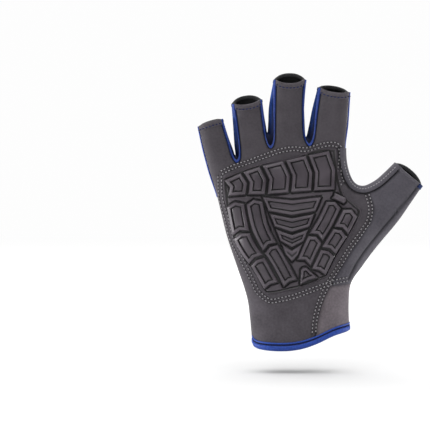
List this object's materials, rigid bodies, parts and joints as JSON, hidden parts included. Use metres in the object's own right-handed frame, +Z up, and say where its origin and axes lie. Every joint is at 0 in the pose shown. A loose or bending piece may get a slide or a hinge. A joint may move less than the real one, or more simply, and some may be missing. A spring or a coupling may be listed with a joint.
{
  "type": "rugby glove",
  "caption": "Fingerless sports glove for the right hand, knit-faced foam with a moulded grip pad on the palm, open finger ends and a bound pull-on cuff.",
  "frame": {"origin": "middle of the wrist opening, on the glove's middle surface, level with the straight part of the cuff edge", "axes": "+Z up from the wrist to the fingertips, +X across the hand towards the thumb, +Y from the palm to the back of the hand"},
  "size_m": [0.1768, 0.0392, 0.2166],
  "materials": {
    "palm_cloth": "matt dark grey knit on foam",
    "back_cloth": "matt blue-grey knit on foam",
    "gusset_cloth": "blue stretch cloth with a slight sheen",
    "pad_rubber": "dark moulded rubber with a slight sheen",
    "piping_cord": "blue cord",
    "rim_tape": "matt black tape",
    "binding_tape": "blue folded tape with a slight sheen"
  },
  "bodies": {
    "root": {"back_panel": "back_cloth", "palm_panel": "palm_cloth", "thumb_panel": "palm_cloth", "cuff_side_panel": "palm_cloth", "gusset_little_ring": "gusset_cloth", "gusset_ring_middle": "gusset_cloth", "gusset_middle_index": "gusset_cloth", "palm_pad": "pad_rubber", "thumb_crotch_hem": "palm_cloth", "piping_index": "piping_cord", "piping_little": "piping_cord", "rim_little": "rim_tape", "rim_ring": "rim_tape", "rim_middle": "rim_tape", "rim_index": "rim_tape", "rim_thumb": "rim_tape", "cuff_binding": "binding_tape"}
  },
  "joints": []
}
